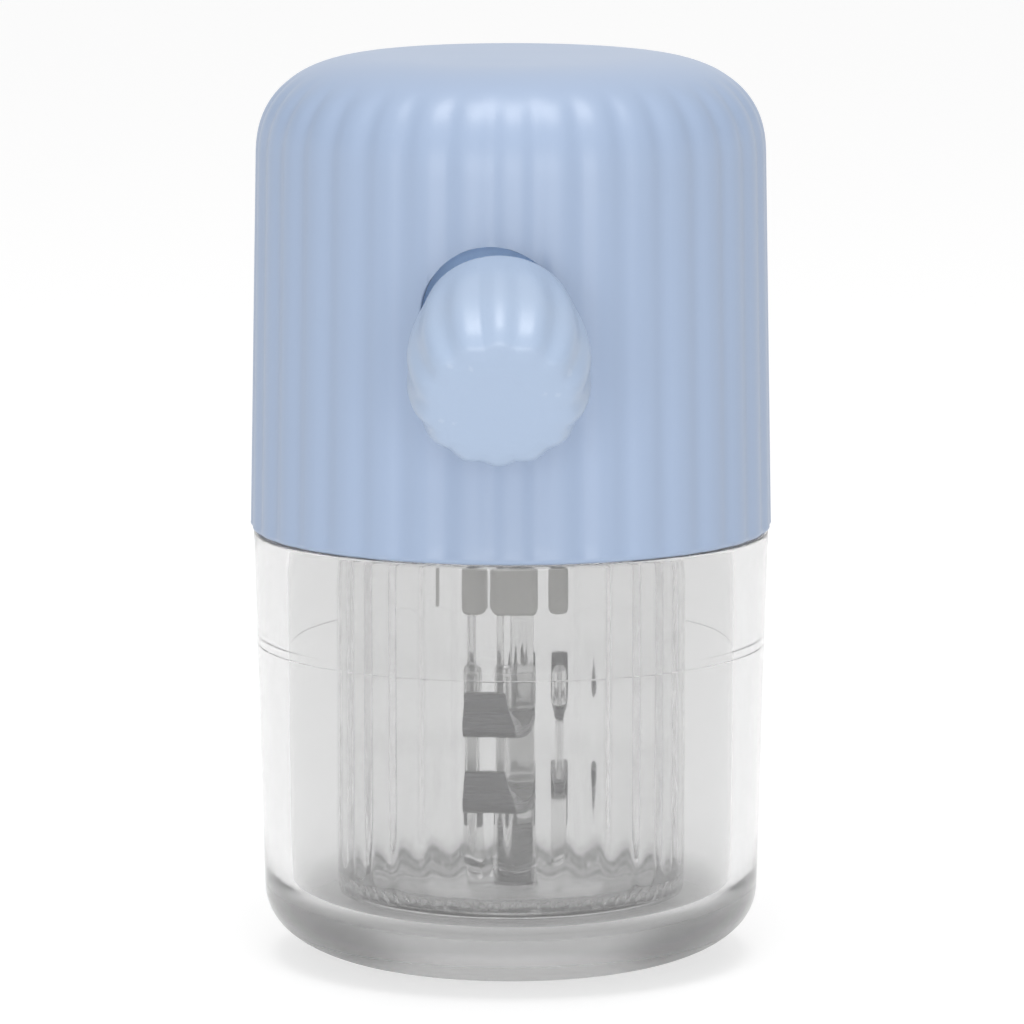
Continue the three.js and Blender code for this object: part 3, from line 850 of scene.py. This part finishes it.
def buildEyelet():
    low, high = boxOf("cord_eyelet")
    centre = Vector((0, cordValues["eyeletY"], (low.z + high.z) / 2))
    profile = [(1.3, -0.9), (1.4, -1.15), (1.7, -1.3), (2.1, -1.2), (2.3, -1.0), (2.3, 0.6),
               (3.35, 0.6), (3.4, 0.8), (3.3, 0.98), (2.6, 1.18), (1.7, 1.2), (1.42, 1.05),
               (1.3, 0.8)]
    place = Matrix.Translation(centre) @ Matrix.Rotation(math.pi / 2, 4, "X")
    turnedPiece("cordEyelet", profile, 48, turnedBrass, "lid", ["cord_eyelet"],
                place=place)


buildPullCord()
buildBead()
buildEyelet()
print("cord ready")


cupValues = {
    "highRadius": 25.67, "lowRadius": 24.72, "footRadius": 10.6, "cornerHeight": 7.65,
    "power": 2.32, "shoulder": 43.0, "shoulderBend": 0.35, "neckRadius": 23.6, "neckBore": 22.3,
    "innerNeckFoot": 46.0, "innerRadius": 22.0, "innerCorner": 9.3, "innerFootRadius": 14.0,
    "innerPower": 2.2, "floor": 4.5, "seam": 31.9, "seamDepth": 0.04, "segments": 192,
}


def buildClearCup():
    values = cupValues
    rim = boxOf("clear_cup")[1].z
    shoulder = values["shoulder"]
    corner = superCorner(values["lowRadius"], values["footRadius"], -values["cornerHeight"],
                         values["cornerHeight"], values["power"], 20)
    foot = [(radius, -height) for radius, height in reversed(corner)]
    wallFoot = (values["lowRadius"], values["cornerHeight"])
    wallTop = (values["highRadius"], shoulder - 0.15)
    slope = (wallTop[0] - wallFoot[0]) / (wallTop[1] - wallFoot[1])

    def wallAt(height):
        return wallFoot[0] + slope * (height - wallFoot[1])

    # Close rings beside the seam's notch keep the shading of the long wall straight.
    seam = values["seam"]
    outside = [(0, 0.0), (5, 0.0)] + foot
    outside += straight(wallFoot, (wallAt(seam - 0.2), seam - 0.2), 10)
    outside += [(wallAt(seam + step), seam + step) for step in (-0.2, -0.1, -0.05)]
    outside.append((wallAt(seam) - values["seamDepth"], seam))
    outside += [(wallAt(seam + step), seam + step) for step in (0.05, 0.1, 0.2)]
    outside += straight((wallAt(seam + 0.2), seam + 0.2), wallTop, 5)
    bend = values["shoulderBend"]
    outside += arc(wallTop[0] - bend, wallTop[1], bend, 0, 90, 5)
    neck, bore = values["neckRadius"], values["neckBore"]
    boreFoot = (bore, values["innerNeckFoot"])
    top = [(neck + 0.15, shoulder + 0.2), (neck, shoulder + 0.35), (neck, rim - 0.3),
           (neck - 0.3, rim), (bore + 0.3, rim), (bore, rim - 0.3), boreFoot]
    inner, innerCorner = values["innerRadius"], values["innerCorner"]
    inside = straight(boreFoot, (inner, innerCorner), 8) + [(inner, innerCorner)]
    innerBend = superCorner(inner, values["innerFootRadius"], -innerCorner,
                            innerCorner - values["floor"], values["innerPower"], 14)[1:]
    inside += [(radius, -height) for radius, height in innerBend] + [(6, values["floor"])]
    profile = outside + top + inside + [(0, values["floor"])]
    points, faces = turnedPoints(profile, values["segments"], closed=False)
    meshObject("clearCup", points, faces, clearCupPlastic, "cup",
               ["clear_cup"], 50)


linerValues = {
    "radius": 17.4, "bore": 16.0, "flange": 23.3, "floor": 7.0, "corner": 3, "ribs": 30,
    "ribDepth": 0.4, "ribSharpness": 0.8, "ribTop": 44.4, "ribFoot": 9.0, "ribFade": 7.0,
    "ribFloorShare": 0.2, "teeth": 72, "toothDepth": 0.3, "segments": 360,
}


def buildLiner():
    values = linerValues
    low, high = boxOf("grinding_liner")
    bottom, top = low.z, high.z
    radius, flange, bore, corner = (values[key] for key in ("radius", "flange", "bore", "corner"))
    outside = [(0, bottom), (8, bottom)]
    outside += arc(radius - corner, bottom + corner, corner, -90, 0, 10)
    outside += straight((radius, bottom + corner), (radius, top - 1.6), 8)
    outside += [(radius, top - 1.6), (radius + 0.2, top - 1.1), (radius + 0.6, top - 1.0),
                (flange - 0.2, top - 1.0), (flange, top - 0.8), (flange, top - 0.2),
                (flange - 0.2, top), (bore + 0.4, top), (bore, top - 0.4)]
    ribTop, ribFoot, level = values["ribTop"], values["ribFoot"], values["floor"]
    ribbed = [(bore, ribTop + 1.6), (bore, ribTop + 0.6), (bore, ribTop)]
    ribbed += straight((bore, ribTop), (bore, ribFoot), 20) + [(bore, ribFoot)]
    floor = [(15.7, 8.7), (15.5, 8.3), (15.3, 7.8), (14.9, 7.2), (14.5, level), (8, level)]
    boss = [(3.6, level), (3.3, 9.1), (3.1, 9.4), (1.8, 9.4), (1.8, 6.6), (0, 6.6)]
    profile = outside + ribbed + floor + boss
    first = len(outside)
    shares = {first: 0.0, first + 1: 0.35}
    toothed = range(first + len(ribbed) + 1, first + len(ribbed) + 4)

    # The ribs start gently under the flange and sink into the wall near the floor.
    def reshape(angle, index, used):
        if index in toothed:
            return used - values["toothDepth"] * (0.5 + 0.5 * math.cos(values["teeth"] * angle))
        if index < first or index >= first + len(ribbed):
            return used
        ridge = (0.5 - 0.5 * math.cos(values["ribs"] * angle)) ** values["ribSharpness"]
        rise = smoothstep((profile[index][1] - ribFoot) / values["ribFade"])
        fade = values["ribFloorShare"] + (1 - values["ribFloorShare"]) * rise
        return used - values["ribDepth"] * ridge * fade * shares.get(index, 1.0)

    points, faces = turnedPoints(profile, values["segments"], reshape, closed=False)
    meshObject("grindingLiner", points, faces, clearLinerPlastic, "cup",
               ["grinding_liner"], 50)


buildClearCup()
buildLiner()
print("cup ready")


bladeValues = {"halfSpan": 13.3, "width": 5.0, "thickness": 1.2, "bend": 1.4, "eye": 3.1,
               "bore": 2.2, "angle": -4.6, "rise": 4.6, "lowerNear": 4.3, "lowerFar": -6.8,
               "tipTaper": 0.5, "bevel": 0.14}
shaftValues = {"bore": 1.8, "collar": 4, "radius": 1.9, "hexRadius": 2.0, "boreTop": 15.3}
nutRadius = 3.8
spacerRadius = 2.9


# A steel strip with both tips bent square, and a round eye in the middle. A tip's rise is its
# height above the strip's underside, or below its top where it is negative.
def buildBlade(name, node, base, nearRise, farRise):
    values = bladeValues
    half, thick, bend = values["halfSpan"], values["thickness"], values["bend"]
    steps = 6

    def tip(end, rise):
        side = math.copysign(1, rise)
        rows = []
        for i in range(steps + 1):
            angle = math.pi / 2 * i / steps
            rows.append((end * (half - bend + bend * math.sin(angle)),
                         bend * (1 - math.cos(angle)), angle))
        rows.append((end * half, abs(rise), math.pi / 2))
        placed = []
        for x, z, angle in rows:
            outer = (x, z if side > 0 else thick - z)
            inner = (x - end * math.sin(angle) * thick,
                     outer[1] + side * math.cos(angle) * thick)
            placed.append((inner, outer) if side < 0 else (outer, inner))
        return placed

    path = list(reversed(tip(-1, nearRise))) + tip(1, farRise)
    points = []
    faces = []
    for index, (under, over) in enumerate(path):
        taper = values["tipTaper"] if index in (0, len(path) - 1) else 0
        for y in (-values["width"] / 2 + taper, values["width"] / 2 - taper):
            points.append(Vector((under[0], y, under[1])))
            points.append(Vector((over[0], y, over[1])))
    for i in range(len(path) - 1):
        a, b = i * 4, i * 4 + 4
        faces += [[a, b, b + 2, a + 2], [a + 1, a + 3, b + 3, b + 1], [a, a + 1, b + 1, b],
                  [a + 2, b + 2, b + 3, a + 3]]
    last = (len(path) - 1) * 4
    faces += [[0, 2, 3, 1], [last, last + 1, last + 3, last + 2]]
    turn = Matrix.Rotation(math.radians(90 + values["angle"]), 4, "Z")
    placed = [Matrix.Translation((0, 0, base)) @ turn @ point for point in points]
    strip = meshObject(name, placed, faces, bladeSteel, "rotor", [node], 30)
    bevel = strip.modifiers.new("soften", "BEVEL")
    bevel.width = values["bevel"] * mm
    bevel.segments = 3
    bevel.limit_method = "ANGLE"
    eye, bore = values["eye"], values["bore"]
    ring = [(bore, base - 0.02), (eye - 0.12, base - 0.02), (eye, base + 0.1),
            (eye, base + thick - 0.1), (eye - 0.12, base + thick + 0.02),
            (bore, base + thick + 0.02)]
    turnedPiece(name + "Eye", ring, 48, bladeSteel, "rotor")


def buildNut():
    low, high = boxOf("blade_nut")
    radius, bore = nutRadius, bladeValues["bore"]
    profile = [(bore, low.z), (radius - 0.3, low.z), (radius, low.z + 0.25),
               (radius, high.z - 0.25), (radius - 0.3, high.z), (bore, high.z)]

    def reshape(angle, index, used):
        return used if used <= bore else min(used, hexRadius(radius, angle))

    points, faces = turnedPoints(profile, 72, reshape, closed=True)
    meshObject("bladeNut", points, faces, milkyPlastic, "rotor", ["blade_nut"], 25)


def buildSpacer():
    low, high = boxOf("blade_spacer")
    radius, bore = spacerRadius, bladeValues["bore"]
    profile = [(bore, low.z), (radius - 0.2, low.z), (radius, low.z + 0.2),
               (radius, high.z - 0.2), (radius - 0.2, high.z), (bore, high.z)]
    turnedPiece("bladeSpacer", profile, 64, milkyPlastic, "rotor",
                ["blade_spacer"])


# Round where the blades sit and six-sided above the nut, for the hub's socket.
def buildShaft():
    values = shaftValues
    low, high = boxOf("rotor_shaft")
    bladeLow = boxOf("lower_blade")[1].z - bladeValues["lowerNear"]
    nutTop = boxOf("blade_nut")[1].z
    bore, collar, radius = values["bore"], values["collar"], values["radius"]
    hexed, boreTop = values["hexRadius"], values["boreTop"]
    profile = [(bore, low.z), (3.8, low.z), (collar, low.z + 0.2), (collar, bladeLow - 0.5),
               (3.8, bladeLow - 0.3), (radius, bladeLow - 0.3), (radius, nutTop + 0.3),
               (hexed, nutTop + 0.5), (hexed, high.z - 0.4), (1.7, high.z), (0, high.z),
               (0, boreTop), (bore, boreTop)]
    hexFrom = nutTop + 0.4

    def reshape(angle, index, used):
        if profile[index][1] < hexFrom or used == 0:
            return used
        return min(used, hexRadius(hexed, angle))

    points, faces = turnedPoints(profile, 72, reshape, closed=True)
    meshObject("rotorShaft", points, faces, milkyPlastic, "rotor",
               ["rotor_shaft"], 30)


buildBlade("lowerBlade", "lower_blade", boxOf("lower_blade")[1].z - bladeValues["lowerNear"],
           bladeValues["lowerNear"], bladeValues["lowerFar"])
buildBlade("upperBlade", "upper_blade", boxOf("upper_blade")[0].z, bladeValues["rise"],
           bladeValues["rise"])
buildShaft()
buildSpacer()
buildNut()
print("rotor ready")


def buildSeal():
    low, high = boxOf("seal_ring")
    middle = (low.z + high.z) / 2
    profile = [(14.9, low.z)] + arc(14.55, middle, 1.15, -62, 62, 10) + [(14.9, high.z)]
    turnedPiece("sealRing", profile, 96, paleSilicone, "lid", ["seal_ring"])


# The driven stem, with a six-sided socket for the shaft, its flange and two posts for the pawls.
hubValues = {"radius": 5.0, "socket": 2.35, "socketDepth": 12.1, "flangeRadius": 11.0,
             "flangeRise": 21.2, "flangeHeight": 1.8, "neck": 4.2, "bore": 2.05,
             "postCircle": 7.2, "postRadius": 0.9}


def buildHub():
    values = hubValues
    low, high = boxOf("drive_hub")
    roof = low.z + values["socketDepth"]
    flange = low.z + values["flangeRise"]
    top = flange + values["flangeHeight"]
    inner, radius, wide = values["socket"], values["radius"], values["flangeRadius"]
    neck, bore = values["neck"], values["bore"]
    socket = [(0, roof), (inner, roof), (inner, low.z + 0.3)]
    stem = [(inner + 0.3, low.z), (radius - 0.3, low.z), (radius, low.z + 0.3), (radius, flange),
            (wide - 0.2, flange), (wide, flange + 0.2), (wide, top - 0.2), (wide - 0.2, top),
            (neck, top), (neck, top + 3), (bore, top + 3), (bore, top - 1), (0, top - 1)]

    def reshape(angle, index, used):
        return used if index >= len(socket) else hexRadius(used, angle)

    points, faces = turnedPoints(socket + stem, 96, reshape)
    meshObject("driveHub", points, faces, naturalWhite, "drive", ["drive_hub"])
    thick = values["postRadius"]
    post = [(0, top - 0.1), (thick, top - 0.1), (thick, high.z - 0.2), (thick - 0.2, high.z),
            (0, high.z)]
    for number, side in enumerate((1, -1), 1):
        turnedPiece("hubPost" + str(number), post, 32, naturalWhite, "drive",
                    closed=False, place=Matrix.Translation((side * values["postCircle"], 0, 0)))


# The cover under the cap, its three screws and the bush for the stem.
coverValues = {"bore": 7.2, "plugRadius": 14.6, "plugHeight": 6.1, "radius": 23.3,
               "screwCircle": 20.3, "screwAngles": (90, 210, 330)}


def screwPlace(degrees):
    angle = math.radians(degrees)
    outward = Vector((math.cos(angle), math.sin(angle), 0))
    return Matrix.Translation(outward * coverValues["screwCircle"])


def buildCover():
    values = coverValues
    low, high = boxOf("base_cover")
    bore, plug, radius = values["bore"], values["plugRadius"], values["radius"]
    step = low.z + values["plugHeight"]
    profile = [(bore + 0.2, low.z), (plug - 0.3, low.z), (plug, low.z + 0.3), (plug, step - 0.2),
               (plug + 0.2, step), (16.0, step), (16.1, step + 0.25), (16.6, step + 0.25),
               (16.7, step),
               (radius - 0.25, step), (radius, step + 0.25), (radius, high.z - 0.2),
               (radius - 0.2, high.z), (13, high.z), (13, low.z + 1.5), (9, low.z + 1.5),
               (9, high.z),
               (bore, high.z), (bore, low.z + 0.2)]
    points, faces = turnedPoints(profile, 160, closed=True)
    cover = meshObject("baseCover", points, faces, naturalWhite, "lid",
                       ["base_cover"])
    for degrees in values["screwAngles"]:
        drill = [(0, step - 1), (2.5, step - 1), (2.5, step + 1.8), (1.5, step + 1.8),
                 (1.5, high.z + 1), (0, high.z + 1)]
        points, faces = turnedPoints(drill, 40)
        points = [screwPlace(degrees) @ Vector(point) for point in points]
        subtract(cover, bareObject("drill", points, faces))


def buildScrew(number, degrees):
    node = "cover_screw_" + str(number)
    low, high = boxOf(node)
    profile = [(0, low.z + 0.8), (0.7, low.z + 0.5), (1.0, low.z + 0.05), (1.8, low.z),
               (2.1, low.z + 0.15), (2.2, low.z + 0.4), (2.2, low.z + 1.2), (1.2, low.z + 1.2),
               (1.2, high.z - 1), (0.5, high.z), (0, high.z)]

    # The two rings inside the head follow the arms of its cross slot.
    def crossed(angle, index, used):
        return used * (0.55 + 0.45 * math.cos(2 * angle) ** 2) if index in (1, 2) else used

    points, faces = turnedPoints(profile, 48, crossed)
    points = [screwPlace(degrees) @ Vector(point) for point in points]
    meshObject("coverScrew" + str(number), points, faces, bladeSteel, "lid", [node])


def buildBush():
    low, high = boxOf("drive_bush")
    collar = high.z - 0.7
    profile = [(5.4, low.z), (6.75, low.z), (6.9, low.z + 0.15), (6.9, collar), (8.5, collar),
               (8.6, collar + 0.1), (8.6, high.z - 0.1), (8.5, high.z), (5.4, high.z),
               (5.3, high.z - 0.1), (5.3, low.z + 0.1)]
    turnedPiece("driveBush", profile, 96, turnedBrass, "lid", ["drive_bush"])


buildSeal()
buildHub()
buildCover()
buildBush()
for number, degrees in enumerate(coverValues["screwAngles"], 1):
    buildScrew(number, degrees)
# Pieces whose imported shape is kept, and only their finish is set.
finishes = {
    "floor_pin": bladeSteel, "axle_pin": bladeSteel, "ratchet_ring": bladeSteel,
    "pawl_1": bladeSteel, "pawl_2": bladeSteel, "recoil_spring": springSteel,
    "reel_washer": turnedBrass, "cord_winding": cordWhite, "spring_case": naturalWhite,
    "cord_reel": naturalWhite,
}
for node, finish in finishes.items():
    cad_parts[node].material_slots[0].material = finish
print("inside ready")
